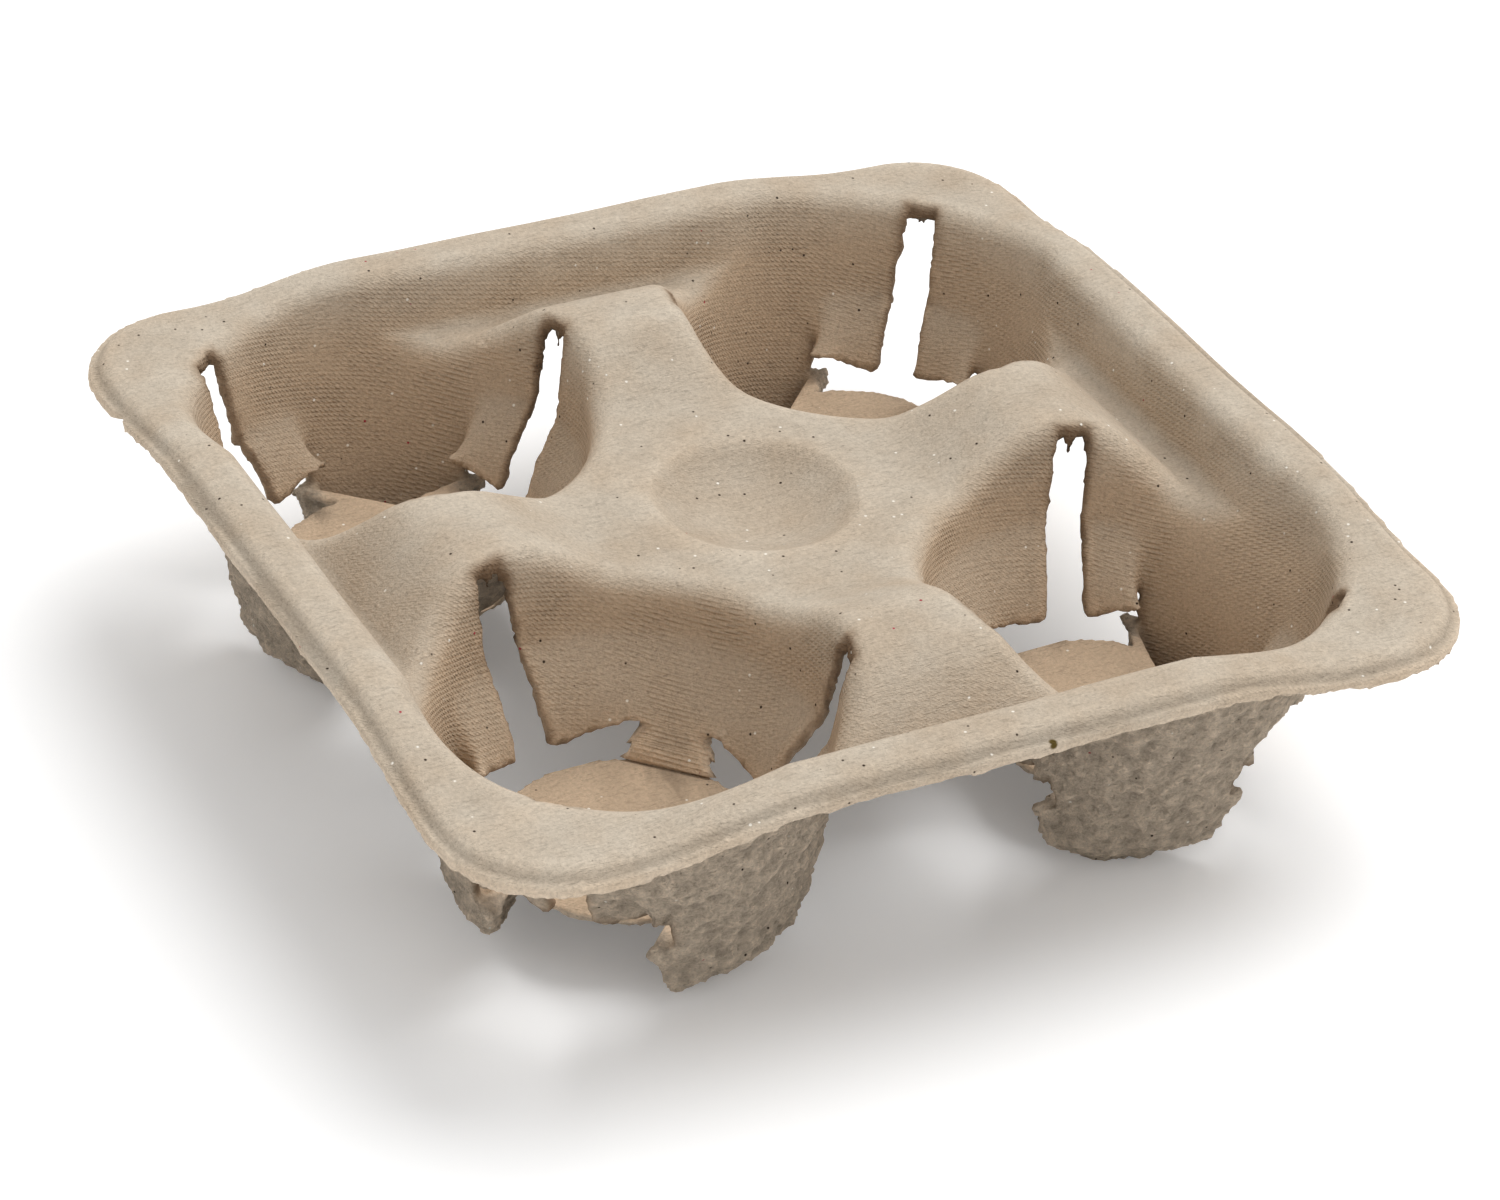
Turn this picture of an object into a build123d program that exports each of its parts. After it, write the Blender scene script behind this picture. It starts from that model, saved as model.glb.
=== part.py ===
"""Carrier tray for four cups, moulded from paper pulp as one thin piece."""

import os
from math import cos, radians, sqrt, tan

from build123d import *

# Whole tray
tray_height = 60.6
wall = 2.4

# Pockets: a cup cone down to the crease, a slanted band below it, leaning out to the corner
pocket_count = 4
pocket_spacing = 109.0
pocket_lean = 4.0
mouth_radius = 41.7
crease_radius = 37.8
crease_height = 38.0
mouth_round = 5.0

# Rim: high in the middle of each side, lower at the corners, ended by a thin lip
rim_width = 11.8
corner_round = 24.0
corner_drop = 4.8
arch_high_share = 0.31
arch_low_share = 0.62
lip_width = 1.8
lip_drop = 2.6
crest_round = 3.4

# Raised floor with three arms
arm_count = 3
floor_height = 17.0
floor_radius = 23.0
floor_arm_width = 37.0
floor_draft = 8.0

# Hollow feet on both sides of the corner arm, the cup cone run on down to a slanted toe
toe_radius = 26.0
toe_slant = 45.0

# Gripping fingers over the arms, split by a slot
finger_width = 36.0
slot_top_width = 6.4
slot_foot_width = 8.5
corner_slot_past = 1.2
side_slot_past = 0.6
finger_gap_height = 7.2
finger_gap_width = 38.5

# Bridges between the pockets: plateau with a dimple, hump, valley inside the rim
plateau_drop = 9.8
plateau_share = 0.6
rise_length = 19.0
hump_offset = 9.5
hump_length = 15.0
hump_drop = 0.8
bridge_fall = 42.0
bridge_round = 18.0
valley_round = 4.0
dimple_radius = 21.3
dimple_depth = 7.0

# One overrun serves every cut
overrun = 5.0

# Derived sizes
quarter_turn = 360 / pocket_count
arm_turn = 360 / arm_count
pocket_half = pocket_spacing / 2
tray_half = pocket_half + mouth_radius + rim_width
crown_half = tray_half - lip_width
crown_round = corner_round - lip_width
cut_top = tray_height + overrun
cup_slope = (mouth_radius - crease_radius) / (tray_height - crease_height)
band_slope = (crease_radius - floor_radius) / (crease_height - floor_height)
toe_slope = tan(radians(toe_slant))
finger_foot = floor_height + finger_gap_height
draft_slope = tan(radians(floor_draft))
lean_slope = tan(radians(pocket_lean))
foot_offset = pocket_half * sqrt(2) - tray_height * lean_slope
plateau_half = pocket_half - mouth_radius * plateau_share
plateau_height = tray_height - plateau_drop
hump_height = tray_height - hump_drop
hump_start = pocket_half + hump_offset - hump_length / 2
hump_end = hump_start + hump_length
well_half = pocket_half + mouth_radius - wall / 2
well_slope = cup_slope + lean_slope / sqrt(2)
fall_slope = tan(radians(bridge_fall))
fall_length = (well_half - hump_end - hump_drop * well_slope) / (1 + fall_slope * well_slope)
valley_reach = hump_end + fall_length
valley_foot = hump_height - fall_length * fall_slope
dimple_ball = (dimple_radius**2 + dimple_depth**2) / (2 * dimple_depth)


def arched_block(half, corner, lowered):
    """A rounded square block under the arched crest, the crest lowered by the given amount."""
    top = tray_height - lowered
    low = top - corner_drop
    high_end = pocket_half - arch_high_share * mouth_radius
    low_end = pocket_half + arch_low_share * mouth_radius
    far = tray_half + 2 * overrun
    with BuildPart() as quarter:
        with BuildSketch(Plane.XZ):
            with BuildLine():
                Line((-high_end, top), (high_end, top))
                Spline((high_end, top), (low_end, low), tangents=((1, 0), (1, 0)))
                Polyline((low_end, low), (far, low), (far, 0), (-far, 0), (-far, low), (-low_end, low))
                Spline((-low_end, low), (-high_end, top), tangents=((1, 0), (1, 0)))
            make_face()
        extrude(amount=-far)
        with BuildSketch(Plane.XY):
            with BuildLine():
                Polyline((0, 0), (far, far), (-far, far), close=True)
            make_face()
        extrude(amount=tray_height, mode=Mode.INTERSECT)
    with BuildPart() as block:
        with PolarLocations(0, pocket_count):
            add(quarter.part)
        with BuildSketch(Plane.XY):
            RectangleRounded(2 * half, 2 * half, corner)
        extrude(amount=tray_height, mode=Mode.INTERSECT)
    return block.part


def wall_cone(radius, height, slope, skin):
    """A leaning cone with the given radius at the given height, grown by the skin."""
    grown = radius + skin * sqrt(1 + slope**2)
    with BuildPart() as cone:
        with BuildSketch(Plane.XZ):
            with BuildLine():
                Polyline(
                    (0, -overrun),
                    (grown - (height + overrun) * slope, -overrun),
                    (grown + (cut_top - height) * slope, cut_top),
                    (0, cut_top),
                    close=True,
                )
            make_face()
        revolve(axis=Axis.Z)
    return cone.part.rotate(Axis.Y, pocket_lean)


def pocket_space(skin):
    """The hollow of one pocket, its corner side along X, with a foot on both sides of the corner arm."""
    top = floor_height - skin
    top_half = floor_arm_width / 2 - skin / cos(radians(floor_draft)) + skin * draft_slope
    low_half = top_half + (top + overrun) * draft_slope
    with BuildPart() as floor_arm:
        with BuildSketch(Plane.YZ):
            with BuildLine():
                Polyline(
                    (-low_half, -overrun),
                    (low_half, -overrun),
                    (top_half, top),
                    (-top_half, top),
                    close=True,
                )
            make_face()
        extrude(amount=mouth_radius)
    with BuildPart() as band:
        with BuildSketch(Plane.XY):
            with PolarLocations(0, arm_count):
                Rectangle(mouth_radius, finger_width - 2 * skin, align=(Align.MIN, Align.CENTER))
            with Locations((-wall - skin, 0)):
                Rectangle(mouth_radius, 2 * mouth_radius, align=(Align.MAX, Align.CENTER))
        extrude(amount=cut_top)
        add(wall_cone(crease_radius, crease_height, band_slope, skin), mode=Mode.SUBTRACT)
    with BuildPart() as inner_floor:
        with BuildSketch(Plane.XY.offset(top)):
            with Locations((-wall - skin, 0)):
                Rectangle(mouth_radius, 2 * mouth_radius, align=(Align.MAX, Align.CENTER))
        extrude(amount=-top - overrun)
    with BuildPart() as space:
        add(wall_cone(crease_radius, crease_height, cup_slope, skin))
        add(wall_cone(toe_radius, wall, toe_slope, skin), mode=Mode.INTERSECT)
        split(bisect_by=Plane.XY.offset(wall - 2 * skin), keep=Keep.TOP)
        add(band.part, mode=Mode.SUBTRACT)
        add(inner_floor.part, mode=Mode.SUBTRACT)
        with PolarLocations(0, arm_count):
            add(floor_arm.part, mode=Mode.SUBTRACT)
    return space.part


def bridge_space(skin):
    """The space above one bridge, from the middle plateau out to the wall inside the rim."""
    with BuildPart() as space:
        with BuildSketch(Plane.XZ) as profile:
            with BuildLine():
                Polyline(
                    (plateau_half - overrun, plateau_height),
                    (hump_start - rise_length, plateau_height),
                    (hump_start, hump_height),
                    (hump_end, hump_height),
                    (valley_reach, valley_foot),
                    (well_half + overrun * well_slope, cut_top),
                    (plateau_half - overrun, cut_top),
                    close=True,
                )
            make_face()
            corners = profile.vertices().sort_by(Axis.X)[2:]
            fillet(corners.sort_by(Axis.Y)[0], valley_round)
            bends = profile.vertices().filter_by_position(Axis.X, hump_start - rise_length, hump_end)
            fillet(bends, bridge_round)
            if skin:
                offset(amount=skin, kind=Kind.INTERSECTION)
        extrude(amount=pocket_half, both=True)
    return space.part


def skin_form(skin):
    """The solid under one skin of the tray: no skin gives the top side, the wall the underside."""
    pocket = pocket_space(skin)
    bridge = bridge_space(skin)
    with BuildPart() as form:
        add(arched_block(crown_half - skin, crown_round - skin, skin))
        with BuildSketch(Plane.XY.offset(plateau_height - skin)):
            Rectangle(2 * plateau_half, 2 * plateau_half)
        extrude(amount=tray_height, mode=Mode.SUBTRACT)
        with PolarLocations(0, pocket_count):
            add(bridge, mode=Mode.SUBTRACT)
        with PolarLocations(foot_offset, pocket_count, quarter_turn / 2):
            add(pocket, mode=Mode.SUBTRACT)
        cup_walls = form.faces().filter_by(GeomType.CONE)
        mouth = cup_walls.edges().filter_by(lambda edge: edge.bounding_box().min.Z > valley_foot - skin)
        wells = form.faces().filter_by_position(Axis.Z, valley_foot, tray_height).filter_by(GeomType.PLANE)
        for well in wells.filter_by(lambda face: 0 < face.normal_at().Z < well_slope):
            mouth += well.edges().sort_by(Axis.Z)[1:]
        fillet(ShapeList(dict.fromkeys(mouth)).sort_by(Axis.Z), mouth_round - skin)
        crest = form.edges().filter_by(GeomType.LINE).group_by(Axis.Z)[-1].sort_by(SortBy.LENGTH)
        fillet(crest[-pocket_count:], crest_round - skin)
        with Locations((0, 0, plateau_height - dimple_depth + dimple_ball)):
            Sphere(dimple_ball + skin, mode=Mode.SUBTRACT)
    return form.part


def rim_ring(half, corner, lowered):
    """The ring outside the rolled rim, up to the arched crest lowered by the given amount."""
    with BuildPart() as ring:
        add(arched_block(half, corner, lowered))
        with BuildSketch(Plane.XY):
            RectangleRounded(2 * (crown_half - wall), 2 * (crown_half - wall), crown_round - wall)
        extrude(amount=tray_height, mode=Mode.SUBTRACT)
    return ring.part


# Slots and finger gaps of one pocket, the first toward the corner of the tray
with BuildPart() as slots:
    for number in range(arm_count):
        side = Plane.YZ.rotated((0, 0, number * arm_turn))
        reach = mouth_radius + (side_slot_past if number else corner_slot_past)
        with BuildSketch(side):
            with BuildLine():
                Polyline(
                    (-slot_foot_width / 2, finger_foot - finger_gap_height / 2),
                    (slot_foot_width / 2, finger_foot - finger_gap_height / 2),
                    (slot_top_width / 2, cut_top),
                    (-slot_top_width / 2, cut_top),
                    close=True,
                )
            make_face()
        extrude(amount=reach)
with BuildPart() as finger_gaps:
    with BuildSketch(Plane.YZ):
        with Locations((0, floor_height)):
            Rectangle(finger_gap_width, finger_gap_height, align=(Align.CENTER, Align.MIN))
    extrude(amount=mouth_radius)

# The tray: top skin less the underside, with the lip round it and the slots cut through
with BuildPart() as cup_tray:
    add(skin_form(0))
    add(rim_ring(tray_half, corner_round, lip_drop))
    add(rim_ring(tray_half + overrun, corner_round + overrun, lip_drop + wall), mode=Mode.SUBTRACT)
    add(skin_form(wall), mode=Mode.SUBTRACT)
    with PolarLocations(foot_offset, pocket_count, quarter_turn / 2):
        add(slots.part.rotate(Axis.Y, pocket_lean), mode=Mode.SUBTRACT)
        with PolarLocations(0, arm_count):
            add(finger_gaps.part, mode=Mode.SUBTRACT)

os.makedirs("parts", exist_ok=True)
cup_tray.part.label = "cup_tray"
export_step(cup_tray.part, "parts/cup_tray.step")
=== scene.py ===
"""Moulded pulp cup tray: its worn skin, its paper finish and the studio it stands in."""

from math import cos, pi, radians, sin, sqrt, tan

import bmesh
import bpy
import numpy as np
from bpy.props import FloatProperty, FloatVectorProperty, IntProperty, PointerProperty, StringProperty
from mathutils import Matrix, Vector, noise
from mathutils.bvhtree import BVHTree


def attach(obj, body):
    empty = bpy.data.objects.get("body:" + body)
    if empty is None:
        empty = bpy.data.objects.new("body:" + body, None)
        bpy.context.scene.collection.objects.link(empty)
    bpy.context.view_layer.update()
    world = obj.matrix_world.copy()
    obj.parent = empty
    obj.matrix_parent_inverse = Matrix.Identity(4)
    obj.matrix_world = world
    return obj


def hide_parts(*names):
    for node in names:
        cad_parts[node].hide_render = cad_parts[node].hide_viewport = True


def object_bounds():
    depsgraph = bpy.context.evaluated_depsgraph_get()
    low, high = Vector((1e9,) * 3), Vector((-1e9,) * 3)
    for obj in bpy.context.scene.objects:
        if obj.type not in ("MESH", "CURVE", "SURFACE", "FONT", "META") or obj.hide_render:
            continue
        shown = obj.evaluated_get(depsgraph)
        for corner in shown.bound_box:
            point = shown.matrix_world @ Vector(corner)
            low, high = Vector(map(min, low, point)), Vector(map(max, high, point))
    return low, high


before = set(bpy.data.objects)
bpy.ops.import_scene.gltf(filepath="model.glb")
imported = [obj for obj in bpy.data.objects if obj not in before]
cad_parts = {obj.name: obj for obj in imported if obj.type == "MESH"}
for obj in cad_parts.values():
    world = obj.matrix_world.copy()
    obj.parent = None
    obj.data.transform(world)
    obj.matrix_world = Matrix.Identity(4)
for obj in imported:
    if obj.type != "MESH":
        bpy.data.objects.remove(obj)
CAD_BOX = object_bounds()

bl_info = {
    "name": "Moulded pulp cup tray",
    "version": (1, 0, 0),
    "blender": (4, 5, 0),
    "location": "3D View > Sidebar > Cup Tray",
    "description": "Moulds the skin of a pulp cup tray over its solid and sets up a plain studio",
    "category": "Object",
}

MM = 0.001

# Mesh work: share of an edge within which points merge, and how far one round of smoothing moves a point
MERGE_SHARE = 0.005
EVEN_FACTOR = 0.3
STEP_FACTOR = 0.5

# Marks that the finish reads, with the rounds that spread each, and the rounds that find and spread hollows
MARK_ROUNDS = {"underside": 3, "cut_edge": 2, "steepness": 4}
HOLLOW_ROUNDS = 3
HOLLOW_SPREAD = 1

# Small margins: off the skin, beyond a cut edge, inside a gap, over the floor and beyond the floor's edge
SKIN_LIFT = 0.2 * MM
EDGE_MARGIN = 1.0 * MM
GAP_MARGIN = 2.0 * MM
FLOOR_LIFT = 0.3 * MM
FLOOR_MARGIN = 3.0 * MM

# Noise of the lumps, the bites and the chipped feet: dimension, step between octaves, octaves
LUMP_NOISE = (0.25, 2.3, 4)
BITE_NOISE = (0.5, 2.2, 3)
CHIP_NOISE = (0.6, 2.2, 3)

# Wear of the feet: its height in foot wears, the chips' width in tears, and how much the chips lean to loss
FOOT_RISE = 4
CHIP_WIDTH = 4
CHIP_LOSS = 0.1

# The short foot's reach in tears, fading out at twice that, and the nick's reach in its own depths
SHORT_REACH = 5
SHORT_FADE = 2
NICK_REACH = 1.6

# Sag of the rim: where it starts between middle and side, and how fast it fades along the side
SAG_START_SHARE = 0.5
SAG_FALL = 2

# How soon the droop of a finger end is full, from the side of its gap to the slot
DROOP_RISE = 1.4

# Lie of the long fibres and of the forming screen, and how slim the fibres are
FIBRE_TURN = (0.4, 0.3, 0.7)
FIBRE_SLIMNESS = 5.5
SCREEN_TURN = (0.16, -0.2, 0.0)

# Radians that the wave texture runs through in one unit, along an axis and along a diagonal
AXIS_WAVE = 20
DIAGONAL_WAVE = 10

# Share of the tray's height below which a steep wall takes the full painted shade, and of the stain that is
# solid
SHADED_WALL_SHARE = 0.75
STAIN_CORE_SHARE = 0.7

# Strength of the relief of fibre bundles and of single fibres
GRAIN_STRENGTH = 0.9
FIBRE_STRENGTH = 0.7


def length(name, description, default_mm):
    """A length property whose default is given in millimetres."""
    return FloatProperty(
        name=name, description=description, default=default_mm * MM, unit="LENGTH", precision=5
    )


def angle(name, description, default_degrees):
    """An angle property whose default is given in degrees."""
    return FloatProperty(
        name=name, description=description, default=radians(default_degrees), subtype="ANGLE"
    )


def spot(name, description, default_mm):
    """A place whose default is given in millimetres."""
    return FloatVectorProperty(
        name=name,
        description=description,
        default=[value * MM for value in default_mm],
        size=len(default_mm),
        subtype="XYZ_LENGTH",
    )


def share(name, description, default):
    """A property between none and all."""
    return FloatProperty(
        name=name, description=description, default=default, min=0.0, max=1.0, subtype="FACTOR"
    )


def shade(name, description, default):
    """A colour property, written as an sRGB hex value."""
    return StringProperty(name=name, description=description, default=default)


class TrayPockets(bpy.types.PropertyGroup):
    """Places of the cut edges in the four pockets."""

    foot_offset: length(
        "Foot offset", "From the middle of the tray to a pocket's middle at the floor, along one side", 51.5
    )
    lean: angle("Lean", "Lean of a pocket out to its corner", 4.0)
    arm_count: IntProperty(name="Arms", description="Slots and finger gaps in one pocket", default=3)
    slot_half: length("Slot half width", "Half the width of a slot at half height", 3.8)
    slot_reach: length("Slot reach", "From the middle of a pocket to the far end of its slots", 42.5)
    slot_foot: length("Slot foot", "Height at which the slots end below", 20.6)
    gap_half: length("Gap half width", "Half the width of a finger gap", 19.25)
    gap_foot: length("Gap foot", "Height of the floor under a finger gap", 17.0)
    gap_top: length("Gap top", "Height of the finger ends over a finger gap", 24.2)
    gap_near: length("Gap start", "From the middle of a pocket to where its finger gaps start", 21.0)
    cut_slack: length("Cut slack", "Depth of the browned paper along a cut", 1.3)


class TraySkin(bpy.types.PropertyGroup):
    """Sizes of the worn skin of the tray."""

    mesh_size: length("Mesh size", "Edge length of the mesh that the worn skin is shaped on", 1.0)
    triangle_limit: IntProperty(
        name="Triangle limit",
        description="Most triangles that the finished skin may have",
        default=190000,
    )
    lump_size: length("Lump size", "Width of the lumps that drained pulp leaves on the underside", 6.0)
    lump_depth: length("Lump depth", "Height of the lumps on the underside", 0.75)
    tear_size: length("Tear size", "Width of the bites along torn and trimmed edges", 4.0)
    tear_depth: length("Tear depth", "Depth of the bites along torn and trimmed edges", 0.45)
    ripple_size: length("Ripple size", "Width of the slow waves left by drying", 26.0)
    ripple_depth: length("Ripple depth", "Height of the slow waves left by drying", 0.4)
    # Painted shade in small hollows is full at this depth
    hollow_depth: length("Hollow depth", "Depth at which a small hollow is at its darkest", 0.35)
    finger_droop: length("Finger droop", "How far the torn finger ends hang down beside the slots", 4.5)
    gap_pinch: length("Gap pinch", "How far the inner ends of the finger gaps are drawn together", 8.5)
    pull_reach: length("Pull reach", "How far the pull on a gap's edges reaches into the wall", 9.5)
    step_top: length("Step top", "Height at which the fingers run into the cup wall", 46.0)
    step_rounds: IntProperty(
        name="Step rounds",
        description="Rounds of softening where the fingers run into the wall",
        default=40,
    )
    sag_depth: length("Rim sag", "How far the two far sides of the rim sag in the middle", 1.3)
    foot_wear: length("Foot wear", "How unevenly the ends of the feet are broken off", 3.0)
    short_foot: length("Short foot", "How much is missing from the shortest foot", 5.0)
    short_foot_at: spot("Short foot place", "Middle of the shortest foot on the floor", (-76.2, -45.4))
    notch_at: spot("Notch place", "Middle of the nick torn into the lip", (-108.0, 72.6, 50.5))
    notch_depth: length("Notch depth", "Depth of the nick torn into the lip", 2.6)
    dent_at: spot("Dent place", "Middle of the dent in the pocket wall on the right", (94.5, -43.0, 27.0))
    dent_size: length("Dent size", "Reach of the dent from its middle", 34.0)
    dent_depth: length("Dent depth", "How far the dented wall is pushed in", 6.0)


class TrayFinish(bpy.types.PropertyGroup):
    """Colours and pattern sizes of the pulp."""

    pale: shade("Pale pulp", "Colour of clean pulp on the smooth side", "#CCBFAD")
    warm: shade("Warm pulp", "Colour of the browner cloudy patches", "#C3B29D")
    # The wall colour is painted shade: steep walls and the low parts of the pockets take this warmer tone
    wall: shade("Wall pulp", "Colour of the browner pulp on the steep walls", "#D3BA9E")
    rough: shade("Rough pulp", "Colour of the drained underside", "#DFCCB5")
    torn: shade("Torn edge", "Colour of torn and trimmed edges", "#8A735C")
    dark_fleck: shade("Dark fleck", "Colour of printed and burnt scraps in the pulp", "#3B2F26")
    white_fleck: shade("White fleck", "Colour of bleached scraps in the pulp", "#EFE8DC")
    red_fleck: shade("Red fleck", "Colour of the rare dyed scraps in the pulp", "#A8404A")
    dark_share: share("Dark share", "Share of the places for flecks that hold a dark one", 0.14)
    white_share: share("White share", "Share of the places for flecks that hold a white one", 0.12)
    red_share: share("Red share", "Share of the places for flecks that hold a red one", 0.025)
    # Between these two heights painted shade grows downward: below the lower one all pulp takes the wall
    # colour
    pale_level: length("Pale level", "Height above which flat pulp is pale", 52.0)
    full_shade_level: length("Brown level", "Height below which all pulp is as brown as the walls", 18.0)
    cloud_size: length("Cloud size", "Width of the cloudy colour patches", 16.0)
    grain_size: length("Grain size", "Width of the fibre bundles", 0.8)
    grain_depth: length("Grain depth", "Relief of the fibre bundles", 0.35)
    pit_size: length("Pit size", "Width of the pits between fibres on the drained underside", 2.2)
    fibre_length: length("Fibre length", "Length of single fibres", 3.0)
    fibre_depth: length("Fibre depth", "Relief of single fibres", 0.4)
    fleck_spacing: length("Fleck spacing", "Distance between flecks", 2.6)
    row_spacing: length("Screen row spacing", "Distance between rows of the forming screen", 1.0)
    stroke_spacing: length("Screen stroke spacing", "Distance between strokes along a screen row", 1.2)
    screen_depth: length("Screen depth", "Relief of the forming screen's imprint", 0.4)
    stain: shade("Stain", "Colour of the one green brown scrap in the lip", "#5B4B22")
    stain_at: spot("Stain place", "Middle of the green brown scrap in the lip", (6.0, -107.5, 57.5))
    stain_size: length("Stain size", "Radius of the green brown scrap", 1.1)


class TrayStudio(bpy.types.PropertyGroup):
    """Camera, light and floor of the studio."""

    azimuth: angle("Azimuth", "Turn of the camera round the tray", -28.8246)
    elevation: angle("Elevation", "Height angle of the camera", 33.5323)
    roll: angle("Roll", "Turn of the camera about its own line of sight", 3.1319)
    distance: length("Distance", "From the aim point to the camera", 987.754)
    aim: spot("Aim", "Point that the camera looks at", (0.0, -0.24, 25.26))
    lens: FloatProperty(
        name="Lens",
        description="Focal length of the camera in millimetres",
        default=116.716,
        subtype="DISTANCE_CAMERA",
    )
    sensor: FloatProperty(
        name="Sensor",
        description="Width of the camera's sensor in millimetres",
        default=36.0,
        subtype="DISTANCE_CAMERA",
    )
    sky: FloatProperty(name="Sky", description="Strength of the even light all round", default=0.7)
    sun: FloatProperty(name="Sun", description="Strength of the soft key light", default=1.9)
    sun_spread: angle("Sun spread", "Width of the soft key light", 48.0)
    sun_toward: FloatVectorProperty(
        name="Sun direction",
        description="Toward the key light: right of the view, away from the camera, up",
        default=(0.4, 0.5, 1.1),
        subtype="XYZ",
    )
    floor: shade("Floor", "Colour of the plain floor", "#FDFDFD")
    floor_half: length("Floor half width", "From the middle of the floor to its sides", 4000.0)
    floor_glow: FloatProperty(
        name="Floor glow",
        description="White that the camera sees on top of the light on the floor",
        default=0.1,
    )


def linear(hex_value):
    """An sRGB hex value as linear red, green, blue and full alpha."""
    parts = [int(hex_value[i:i + 2], 16) / 255 for i in (1, 3, 5)]
    return [c / 12.92 if c <= 0.04045 else ((c + 0.055) / 1.055) ** 2.4 for c in parts] + [1.0]


def add_node(tree, kind, inputs, **settings):
    """A node of the given kind with its settings, its constants and its links."""
    made = tree.nodes.new(kind)
    for key, value in settings.items():
        setattr(made, key, value)
    for key, value in inputs.items():
        if isinstance(value, bpy.types.NodeSocket):
            tree.links.new(value, made.inputs[key])
        else:
            made.inputs[key].default_value = value
    return made


def moulded_pulp(finish):
    """Moulded paper pulp: dull and fibrous, printed by the forming screen above and rough below."""
    material = bpy.data.materials.new("moulded_paper_pulp")
    material.use_nodes = True
    tree = material.node_tree
    surface = tree.nodes["Principled BSDF"]
    surface.inputs["Roughness"].default_value = 0.94
    surface.inputs["Specular IOR Level"].default_value = 0.18
    surface.inputs["IOR"].default_value = 1.47
    place = add_node(tree, "ShaderNodeTexCoord", {}).outputs["Object"]
    marks = {
        name: add_node(tree, "ShaderNodeAttribute", {}, attribute_name=name).outputs["Fac"]
        for name in (*MARK_ROUNDS, "hollow")
    }
    fibres = pulp_fibres(tree, finish, place)
    colour = pulp_colour(tree, finish, place, marks, fibres)
    colour = scraps_in_pulp(tree, finish, place, colour)
    tree.links.new(colour, surface.inputs["Base Color"])
    tree.links.new(pulp_relief(tree, finish, place, marks, fibres), surface.inputs["Normal"])
    return material


def pulp_fibres(tree, finish, place):
    """Patterns that the fibres make: cloudy patches, bundles, single long fibres and pits between them."""
    combed = add_node(
        tree,
        "ShaderNodeMapping",
        {"Vector": place, "Rotation": FIBRE_TURN, "Scale": (1.0, FIBRE_SLIMNESS, FIBRE_SLIMNESS)},
    ).outputs["Vector"]
    patterns = {
        "cloud": {"Vector": place, "Scale": 1 / finish.cloud_size, "Detail": 5.0},
        "grain": {"Vector": place, "Scale": 1 / finish.grain_size, "Detail": 4.0, "Roughness": 0.7},
        "fibre": {"Vector": combed, "Scale": 1 / finish.fibre_length, "Detail": 3.0, "Distortion": 1.2},
        "pits": {"Vector": place, "Scale": 1 / finish.pit_size, "Detail": 6.0, "Roughness": 0.75},
    }
    return {
        name: add_node(tree, "ShaderNodeTexNoise", inputs).outputs["Fac"] for name, inputs in patterns.items()
    }


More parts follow.
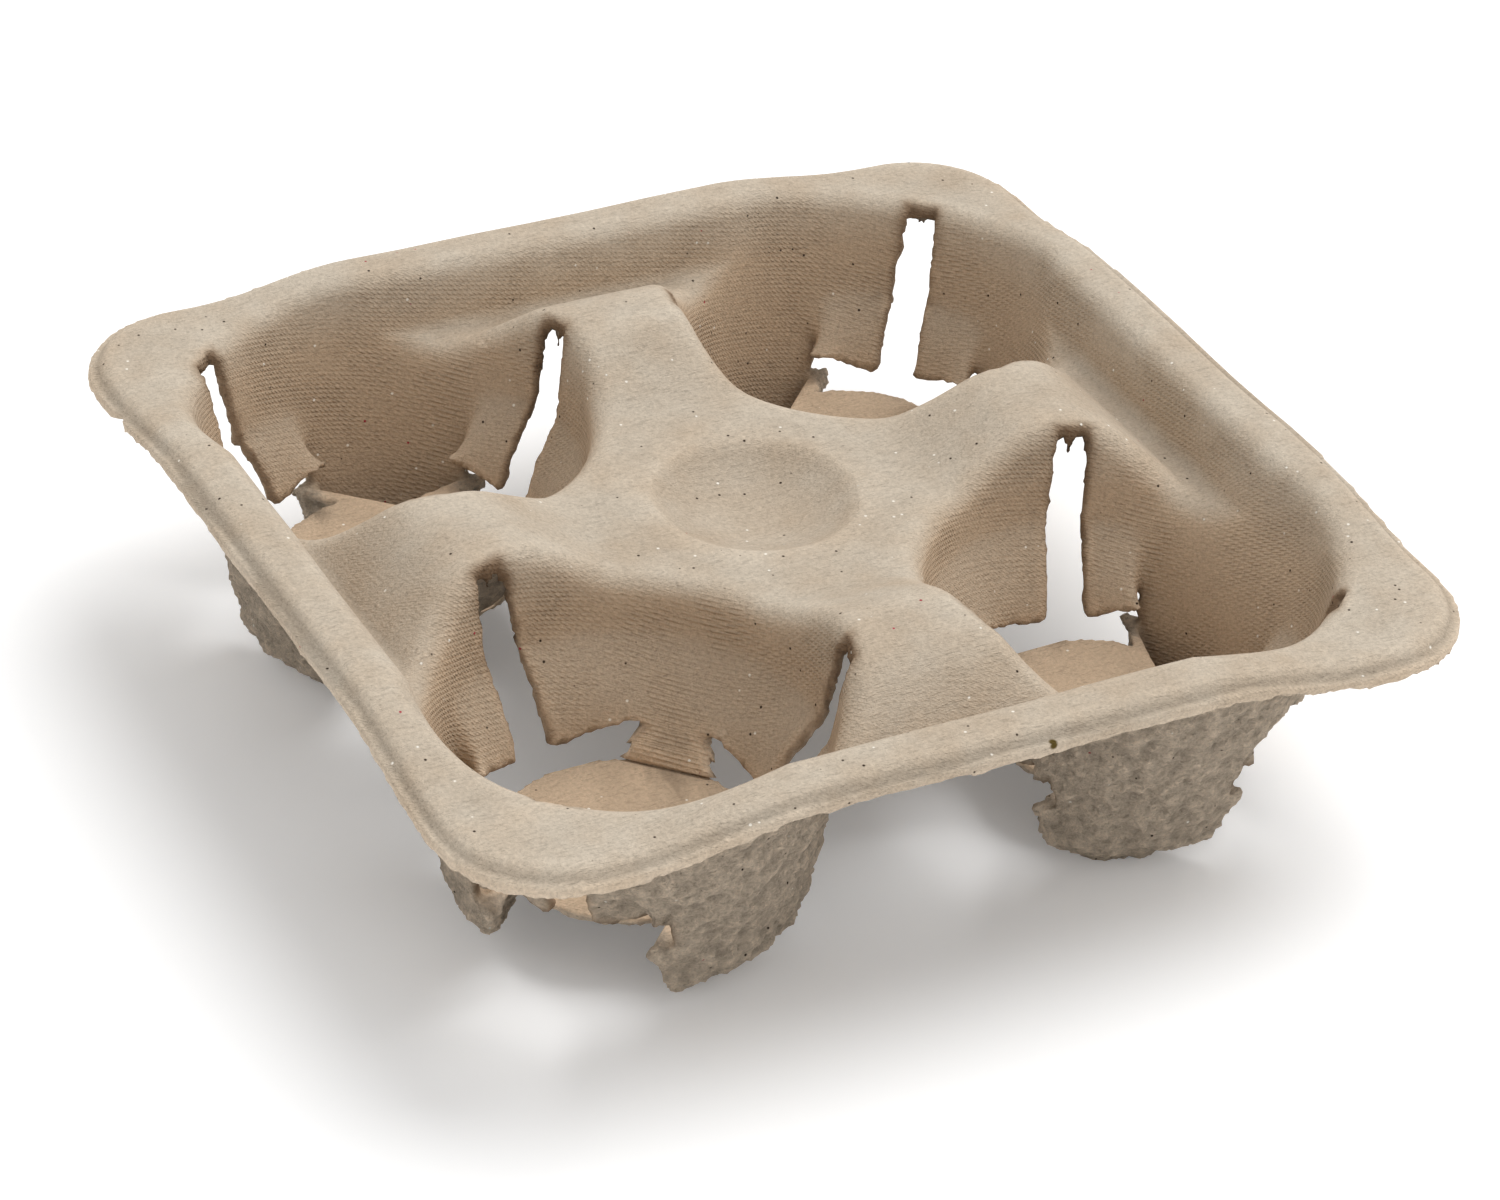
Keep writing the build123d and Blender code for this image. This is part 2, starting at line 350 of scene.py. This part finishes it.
def pulp_colour(tree, finish, place, marks, fibres):
    """Colour of the pulp: two papers in clouds, painted shade on the steep walls and low in the pockets, a
    drained underside and torn edges.
    """
    height = add_node(tree, "ShaderNodeSeparateXYZ", {"Vector": place}).outputs["Z"]
    top = CAD_BOX[1][2]
    patch = add_node(
        tree, "ShaderNodeMapRange", {"Value": fibres["cloud"], "From Min": 0.38, "From Max": 0.66}
    )
    deep = add_node(
        tree,
        "ShaderNodeMapRange",
        {"Value": height, "From Min": finish.pale_level, "From Max": finish.full_shade_level},
    )
    sloped = add_node(
        tree, "ShaderNodeMapRange", {"Value": marks["steepness"], "From Min": 0.02, "From Max": 0.7}
    )
    inside = add_node(
        tree, "ShaderNodeMapRange", {"Value": height, "From Min": top, "From Max": SHADED_WALL_SHARE * top}
    )
    walled = add_node(
        tree,
        "ShaderNodeMath",
        {0: sloped.outputs["Result"], 1: inside.outputs["Result"]},
        operation="MULTIPLY",
    )
    # Painted shade: steep walls below the top and the low parts of the pockets take the wall colour
    painted_shade = add_node(
        tree,
        "ShaderNodeMath",
        {0: deep.outputs["Result"], 1: walled.outputs["Value"]},
        operation="MAXIMUM",
    )
    colour = linear(finish.pale)
    for cover, layer in (
        (patch.outputs["Result"], finish.warm),
        (painted_shade.outputs["Value"], finish.wall),
        (marks["underside"], finish.rough),
        (marks["cut_edge"], finish.torn),
    ):
        colour = add_node(
            tree, "ShaderNodeMix", {"Factor": cover, "A": colour, "B": linear(layer)}, data_type="RGBA"
        ).outputs["Result"]

    # Fibres and pits darken the colour or lift it; painted shade darkens it low down and in small hollows,
    # and painted light lifts it on small bumps
    speckled = add_node(
        tree,
        "ShaderNodeMapRange",
        {"Value": fibres["grain"], "From Min": 0.3, "From Max": 0.7, "To Min": 0.82, "To Max": 1.12},
    )
    streaked = add_node(
        tree,
        "ShaderNodeMapRange",
        {"Value": fibres["fibre"], "From Min": 0.34, "From Max": 0.44, "To Min": 0.84, "To Max": 1.0},
    )
    # Painted shade in small hollows and painted light on small bumps
    hollow_shade_and_bump_light = add_node(
        tree,
        "ShaderNodeMapRange",
        {"Value": marks["hollow"], "From Min": -1.0, "From Max": 1.0, "To Min": 1.16, "To Max": 0.62},
        interpolation_type="SMOOTHSTEP",
    )
    pitted = add_node(
        tree,
        "ShaderNodeMapRange",
        {"Value": fibres["pits"], "From Min": 0.36, "From Max": 0.62, "To Min": 0.74, "To Max": 1.14},
    )
    stubbly = add_node(
        tree, "ShaderNodeMix", {"Factor": marks["underside"], "A": 1.0, "B": pitted.outputs["Result"]}
    )
    # Painted shade: the pulp grows darker low in the pockets
    depth_shade = add_node(
        tree, "ShaderNodeMapRange", {"Value": deep.outputs["Result"], "To Min": 1.0, "To Max": 0.92}
    )
    for tone in (speckled, streaked, hollow_shade_and_bump_light, stubbly, depth_shade):
        colour = add_node(
            tree,
            "ShaderNodeVectorMath",
            {0: colour, "Scale": tone.outputs["Result"]},
            operation="SCALE",
        ).outputs["Vector"]
    return colour


def scraps_in_pulp(tree, finish, place, colour):
    """The colour with scraps of other paper in it: flecks of three colours and one larger stain."""
    # One cell in a few holds a fleck, and the cell's own colour says which
    cells = add_node(
        tree,
        "ShaderNodeTexVoronoi",
        {"Vector": place, "Scale": 1 / finish.fleck_spacing, "Randomness": 1.0},
    )
    pick = add_node(tree, "ShaderNodeSeparateColor", {"Color": cells.outputs["Color"]})
    middle = add_node(
        tree,
        "ShaderNodeMapRange",
        {"Value": cells.outputs["Distance"], "From Min": 0.14, "From Max": 0.08},
    )
    for channel, held, fleck in (
        ("Red", finish.dark_share, finish.dark_fleck),
        ("Green", finish.white_share, finish.white_fleck),
        ("Blue", finish.red_share, finish.red_fleck),
    ):
        chosen = add_node(
            tree, "ShaderNodeMath", {0: pick.outputs[channel], 1: 1 - held}, operation="GREATER_THAN"
        )
        shown = add_node(
            tree,
            "ShaderNodeMath",
            {0: chosen.outputs["Value"], 1: middle.outputs["Result"]},
            operation="MULTIPLY",
        )
        colour = add_node(
            tree,
            "ShaderNodeMix",
            {"Factor": shown.outputs["Value"], "A": colour, "B": linear(fleck)},
            data_type="RGBA",
        ).outputs["Result"]
    away = add_node(tree, "ShaderNodeVectorMath", {0: place, 1: finish.stain_at}, operation="DISTANCE")
    stained = add_node(
        tree,
        "ShaderNodeMapRange",
        {
            "Value": away.outputs["Value"],
            "From Min": finish.stain_size,
            "From Max": STAIN_CORE_SHARE * finish.stain_size,
        },
    )
    return add_node(
        tree,
        "ShaderNodeMix",
        {"Factor": stained.outputs["Result"], "A": colour, "B": linear(finish.stain)},
        data_type="RGBA",
    ).outputs["Result"]


def pulp_relief(tree, finish, place, marks, fibres):
    """Relief of the pulp: pits below, fibres all over and the forming screen's imprint on the walls."""
    # The screen has slanted rows of short strokes, drawn a little coarse so that they show
    turned = add_node(tree, "ShaderNodeMapping", {"Vector": place, "Rotation": SCREEN_TURN})
    rows = add_node(
        tree,
        "ShaderNodeTexWave",
        {
            "Vector": turned.outputs["Vector"],
            "Scale": 2 * pi / (AXIS_WAVE * finish.row_spacing),
            "Distortion": 1.6,
            "Detail": 1.0,
            "Detail Scale": 0.1,
        },
        bands_direction="Z",
    )
    strokes = add_node(
        tree,
        "ShaderNodeTexWave",
        {
            "Vector": turned.outputs["Vector"],
            "Scale": 2 * pi / (DIAGONAL_WAVE * finish.stroke_spacing),
            "Distortion": 1.2,
            "Detail": 1.0,
            "Detail Scale": 0.15,
        },
        bands_direction="DIAGONAL",
    )
    weave = add_node(
        tree, "ShaderNodeMath", {0: rows.outputs["Fac"], 1: strokes.outputs["Fac"]}, operation="MULTIPLY"
    )

    # It prints the steep walls of the smooth side, in some places more than in others
    patchy = add_node(
        tree,
        "ShaderNodeMapRange",
        {"Value": fibres["cloud"], "From Min": 0.36, "From Max": 0.6, "To Min": 0.25, "To Max": 1.0},
    )
    smooth = add_node(tree, "ShaderNodeMath", {0: 1.0, 1: marks["underside"]}, operation="SUBTRACT")
    printed = add_node(
        tree, "ShaderNodeMath", {0: smooth.outputs["Value"], 1: marks["steepness"]}, operation="MULTIPLY"
    )
    imprint = add_node(
        tree,
        "ShaderNodeMath",
        {0: printed.outputs["Value"], 1: patchy.outputs["Result"]},
        operation="MULTIPLY",
    )

    # Each relief lies on the one before it
    lower = {}
    for pattern, depth, strength in (
        (fibres["pits"], finish.pit_size, marks["underside"]),
        (fibres["grain"], finish.grain_depth, GRAIN_STRENGTH),
        (fibres["fibre"], finish.fibre_depth, FIBRE_STRENGTH),
        (weave.outputs["Value"], finish.screen_depth, imprint.outputs["Value"]),
    ):
        relief = add_node(
            tree, "ShaderNodeBump", {"Strength": strength, "Distance": depth, "Height": pattern, **lower}
        )
        lower = {"Normal": relief.outputs["Normal"]}
    return lower["Normal"]


def bake_modifiers(piece):
    """Put what the piece's modifiers make of its mesh in place of that mesh."""
    evaluated = piece.evaluated_get(bpy.context.evaluated_depsgraph_get())
    piece.data = bpy.data.meshes.new_from_object(evaluated)
    piece.modifiers.clear()


def remeshed_copy(node, size):
    """An even mesh of the node's solid as a new object with nothing else, and the solid's surface."""
    merged = bmesh.new()
    merged.from_mesh(node.data)
    bmesh.ops.remove_doubles(merged, verts=merged.verts, dist=MERGE_SHARE * size)
    mesh = bpy.data.meshes.new("pulp_tray")
    merged.to_mesh(mesh)
    surface = BVHTree.FromBMesh(merged)
    merged.free()
    piece = bpy.data.objects.new("pulp_tray", mesh)
    bpy.context.scene.collection.objects.link(piece)
    even = piece.modifiers.new("even_mesh", "REMESH")
    even.mode = "VOXEL"
    even.voxel_size = size
    bake_modifiers(piece)
    return piece, surface


def soften(shape, verts, factor):
    """Move points of a mesh part of the way to the middle of their neighbours."""
    bmesh.ops.smooth_vert(
        shape, verts=verts, factor=factor, use_axis_x=True, use_axis_y=True, use_axis_z=True
    )


def spread(values, edges, rounds):
    """Values of points averaged with their neighbours along the edges, a few rounds over."""
    counts = np.bincount(edges.ravel(), minlength=len(values)) + 1
    for _ in range(rounds):
        total = values.copy()
        np.add.at(total, edges[:, 0], values[edges[:, 1]])
        np.add.at(total, edges[:, 1], values[edges[:, 0]])
        values = (total.T / counts).T
    return values


class CUPTRAY_OT_mould(bpy.types.Operator):
    """Mould the worn pulp skin of the tray over its solid"""

    bl_idname = "cuptray.mould"
    bl_label = "Mould Tray"

    def execute(self, context):
        pockets = context.scene.tray_pockets
        skin = context.scene.tray_skin
        piece, solid = remeshed_copy(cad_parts["cup_tray"], skin.mesh_size)
        shape = bmesh.new()
        shape.from_mesh(piece.data)
        for vert in shape.verts:
            vert.co = solid.find_nearest(vert.co)[0]
        soften(shape, shape.verts, EVEN_FACTOR)
        shape.normal_update()
        edges = np.array([[v.index for v in e.verts] for e in shape.edges])
        marks = self.marks(shape, pockets, edges)

        # The worn shape
        soft = [vert for vert in shape.verts if self.on_step(vert.co, pockets, skin)]
        for _ in range(skin.step_rounds):
            soften(shape, soft, STEP_FACTOR)
        shape.normal_update()
        for vert in shape.verts:
            vert.co += self.pulled(vert.co, pockets, skin)
        self.wear(shape, skin, marks["underside"], marks["cut_edge"])
        shape.normal_update()
        marks["hollow"] = self.hollows(shape, edges, skin.hollow_depth)
        shape.to_mesh(piece.data)
        shape.free()

        # The marks ride on the mesh while it is thinned
        for name, values in marks.items():
            layer = piece.data.attributes.new(name, "FLOAT", "POINT")
            layer.data.foreach_set("value", values.astype(np.float32))
        thin = piece.modifiers.new("thin_mesh", "DECIMATE")
        thin.ratio = min(1, skin.triangle_limit / (2 * len(piece.data.polygons)))
        bake_modifiers(piece)
        piece.data.polygons.foreach_set("use_smooth", [True] * len(piece.data.polygons))
        piece.data.materials.clear()
        piece.data.materials.append(moulded_pulp(context.scene.tray_finish))
        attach(piece, "root")
        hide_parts("cup_tray")
        return {"FINISHED"}

    def marks(self, shape, pockets, edges):
        """How much each point lies under a cover, on a cut edge and on a steep wall, by name."""
        tree = BVHTree.FromBMesh(shape)
        found = {name: [] for name in MARK_ROUNDS}
        for vert in shape.verts:
            covered = tree.ray_cast(vert.co + vert.normal * SKIN_LIFT, Vector((0, 0, 1)))[0] is not None
            found["underside"].append(float(covered))
            found["cut_edge"].append(float(self.on_cut(vert.co, pockets)))
            found["steepness"].append(1 - abs(vert.normal.z))
        return {name: spread(np.array(found[name]), edges, rounds) for name, rounds in MARK_ROUNDS.items()}

    def hollows(self, shape, edges, depth):
        """How far each point lies in a small hollow, up to 1 at the given depth, or on a bump, down to -1."""
        spots = np.array([v.co for v in shape.verts])
        normals = np.array([v.normal for v in shape.verts])
        sunk = ((spread(spots, edges, HOLLOW_ROUNDS) - spots) * normals).sum(axis=1)
        return np.clip(spread(sunk, edges, HOLLOW_SPREAD) / depth, -1, 1)

    def from_arm(self, at, pockets, height):
        """Distance along the nearest pocket arm and across it, and the way there from the pocket's axis."""
        corner = Vector((1 if at.x > 0 else -1, 1 if at.y > 0 else -1))
        middle = corner * (pockets.foot_offset + height * tan(pockets.lean) / sqrt(2))
        reach = at.xy - middle
        best = None
        for number in range(pockets.arm_count):
            arm = Matrix.Rotation(2 * pi * number / pockets.arm_count, 2) @ corner.normalized()
            place = (reach.dot(arm), arm.cross(reach), reach)
            best = place if best is None or place[0] > best[0] else best
        return best

    def on_cut(self, at, pockets):
        """Whether a point lies on the cut edge of a slot or a finger gap."""
        slack = pockets.cut_slack
        along, across, _ = self.from_arm(at, pockets, at.z)
        in_reach = pockets.gap_near < along < pockets.slot_reach + slack / 2
        if in_reach and at.z > pockets.slot_foot and abs(across) < pockets.slot_half + slack / 2:
            return True
        along, across, _ = self.from_arm(at, pockets, 0)
        in_gap = pockets.gap_foot + slack < at.z < pockets.gap_top + slack / 2
        return along > pockets.gap_near and in_gap and abs(across) < pockets.gap_half + slack / 2

    def on_step(self, at, pockets, skin):
        """Whether a point lies where a finger's side runs into the wall of a foot."""
        along, across, _ = self.from_arm(at, pockets, at.z)
        level = pockets.gap_top + EDGE_MARGIN < at.z < skin.step_top
        return level and along > pockets.gap_near / 2 and abs(across) > 2 * pockets.slot_half

    def pulled(self, at, pockets, skin):
        """How the finger ends hang down beside the slots and the gaps' inner ends draw together."""
        along, across, reach = self.from_arm(at, pockets, 0)
        move = Vector((0, 0, 0))
        if reach.length < pockets.gap_near:
            return move
        over = abs(across) - pockets.gap_half
        above = at.z - pockets.gap_top
        if along > pockets.gap_near and over < 0 and above > -EDGE_MARGIN:
            fade = max(0, 1 - max(above, 0) / skin.pull_reach) ** 2
            move.z -= skin.finger_droop * fade * min(1, -DROOP_RISE * over / pockets.gap_half)
        inward = reach.x * at.x + reach.y * at.y < 0
        beyond_floor = reach.length > pockets.gap_near + FLOOR_MARGIN
        raised = at.z > pockets.gap_foot + FLOOR_LIFT or beyond_floor
        if inward and raised and over > -GAP_MARGIN and above < 0:
            beside = max(0, 1 - max(over, 0) / skin.pull_reach) ** 2
            lower = min(1, -above / (pockets.gap_top - pockets.gap_foot))
            turn = skin.gap_pinch * beside * lower / reach.length * (-1 if across > 0 else 1)
            move.xy += Matrix.Rotation(turn, 2) @ reach - reach
        return move

    def wear(self, shape, skin, under, edge):
        """Lumps below, bites along the edges, slow waves, a sagging rim, a dent, broken feet and a nick."""
        half = CAD_BOX[1][0]
        height = CAD_BOX[1][2]
        short_foot = Vector((*skin.short_foot_at, 0))
        notch = Vector(skin.notch_at)
        dent = Vector(skin.dent_at)
        for vert in shape.verts:
            at = vert.co.copy()
            lump = noise.fractal(at / skin.lump_size, *LUMP_NOISE) * skin.lump_depth * under[vert.index]
            bite = noise.fractal(at / skin.tear_size, *BITE_NOISE) * skin.tear_depth * edge[vert.index]
            ripple = noise.noise(at / skin.ripple_size) * skin.ripple_depth
            vert.co += vert.normal * (lump + bite + ripple)
            side = max(at.x, at.y) / half
            along = min(at.x, at.y) / half
            if side > SAG_START_SHARE:
                bow = max(0, 1 - along**2 * SAG_FALL) * (side - SAG_START_SHARE) / (1 - SAG_START_SHARE)
                vert.co.z -= bow * (at.z / height) * skin.sag_depth
            pushed = max(0, 1 - ((at - dent).length / skin.dent_size) ** 2) ** 2
            vert.co.x -= pushed * skin.dent_depth
            low = max(0, 1 - at.z / (FOOT_RISE * skin.foot_wear))
            flat = Vector((at.x, at.y, 0))
            chips = noise.fractal(flat / (CHIP_WIDTH * skin.tear_size), *CHIP_NOISE) + CHIP_LOSS
            away = (flat - short_foot).length / (SHORT_REACH * skin.tear_size)
            shortened = max(0, min(1, SHORT_FADE - away)) * skin.short_foot
            vert.co.z += low * (skin.foot_wear * max(0, chips) + shortened)
            nick = max(0, 1 - (at - notch).length / (NICK_REACH * skin.notch_depth))
            vert.co.x += nick * skin.notch_depth
            vert.co.z = max(0, vert.co.z)


class CUPTRAY_OT_stage(bpy.types.Operator):
    """Set up the floor, the light and the camera"""

    bl_idname = "cuptray.stage"
    bl_label = "Set Stage"

    def execute(self, context):
        scene = context.scene
        studio = scene.tray_studio
        scene.view_settings.view_transform = "Standard"

        # Floor
        sheet = bmesh.new()
        bmesh.ops.create_grid(sheet, x_segments=1, y_segments=1, size=studio.floor_half)
        mesh = bpy.data.meshes.new("floor")
        sheet.to_mesh(mesh)
        sheet.free()
        floor = bpy.data.objects.new("floor", mesh)
        scene.collection.objects.link(floor)
        mesh.materials.append(self.matt_paint(studio))

        # Even light all round, seen as plain white by the camera
        world = bpy.data.worlds.new("studio_sky")
        scene.world = world
        world.use_nodes = True
        sky = world.node_tree
        seen = add_node(sky, "ShaderNodeLightPath", {}).outputs["Is Camera Ray"]
        strength = add_node(
            sky, "ShaderNodeMapRange", {"Value": seen, "To Min": studio.sky, "To Max": 1.0}
        )
        back = sky.nodes["Background"]
        back.inputs["Color"].default_value = (1, 1, 1, 1)
        sky.links.new(strength.outputs["Result"], back.inputs["Strength"])

        # Camera on the photo's line of sight
        turn, rise, roll = studio.azimuth, studio.elevation, studio.roll
        behind = Vector((sin(turn) * cos(rise), -cos(turn) * cos(rise), sin(rise)))
        right = Vector((cos(turn), sin(turn), 0))
        up = behind.cross(right)
        across = right * cos(roll) + up * sin(roll)
        upright = up * cos(roll) - right * sin(roll)
        eye = bpy.data.cameras.new("camera")
        eye.sensor_width = studio.sensor
        eye.lens = studio.lens
        camera = bpy.data.objects.new("camera", eye)
        stand = Matrix.Translation(Vector(studio.aim) + behind * studio.distance)
        camera.matrix_world = stand @ Matrix((across, upright, behind)).transposed().to_4x4()
        scene.collection.objects.link(camera)
        scene.camera = camera

        # Soft key light from the right and behind
        lamp = bpy.data.lights.new("key_light", "SUN")
        lamp.energy = studio.sun
        lamp.angle = studio.sun_spread
        key = bpy.data.objects.new("key_light", lamp)
        sideways, away, upward = studio.sun_toward
        toward = right * sideways - Vector((behind.x, behind.y, 0)) * away + Vector((0, 0, upward))
        key.matrix_world = toward.to_track_quat("Z", "Y").to_matrix().to_4x4()
        scene.collection.objects.link(key)
        return {"FINISHED"}

    def matt_paint(self, studio):
        """Matt white studio paint: no sheen, and a little lighter to the camera than its light alone."""
        paint = bpy.data.materials.new("matt_white_studio_paint")
        paint.use_nodes = True
        tree = paint.node_tree
        coat = tree.nodes["Principled BSDF"]
        coat.inputs["Base Color"].default_value = linear(studio.floor)
        coat.inputs["Roughness"].default_value = 0.9
        coat.inputs["Specular IOR Level"].default_value = 0.0
        coat.inputs["Emission Color"].default_value = (1, 1, 1, 1)
        seen = add_node(tree, "ShaderNodeLightPath", {}).outputs["Is Camera Ray"]
        glow = add_node(tree, "ShaderNodeMath", {0: seen, 1: studio.floor_glow}, operation="MULTIPLY")
        tree.links.new(glow.outputs["Value"], coat.inputs["Emission Strength"])
        return paint


class CUPTRAY_PT_sidebar(bpy.types.Panel):
    """Sizes, colours and steps of the cup tray"""

    bl_idname = "CUPTRAY_PT_sidebar"
    bl_label = "Cup Tray"
    bl_space_type = "VIEW_3D"
    bl_region_type = "UI"
    bl_category = "Cup Tray"

    def draw(self, context):
        for operator, group in (
            ("cuptray.mould", context.scene.tray_pockets),
            ("cuptray.mould", context.scene.tray_skin),
            ("cuptray.mould", context.scene.tray_finish),
            ("cuptray.stage", context.scene.tray_studio),
        ):
            box = self.layout.box()
            for name in group.bl_rna.properties.keys():
                if name not in {"rna_type", "name"}:
                    box.prop(group, name)
            box.operator(operator)


GROUPS = {
    "tray_pockets": TrayPockets,
    "tray_skin": TraySkin,
    "tray_finish": TrayFinish,
    "tray_studio": TrayStudio,
}
STEPS = (CUPTRAY_OT_mould, CUPTRAY_OT_stage)


def register():
    for item in (*GROUPS.values(), *STEPS, CUPTRAY_PT_sidebar):
        bpy.utils.register_class(item)
    for name, group in GROUPS.items():
        setattr(bpy.types.Scene, name, PointerProperty(type=group))


def unregister():
    for name in GROUPS:
        delattr(bpy.types.Scene, name)
    for item in (CUPTRAY_PT_sidebar, *reversed(STEPS), *reversed(GROUPS.values())):
        bpy.utils.unregister_class(item)


def main():
    register()
    bpy.ops.cuptray.mould()
    bpy.ops.cuptray.stage()


if __name__ == "__main__":
    main()
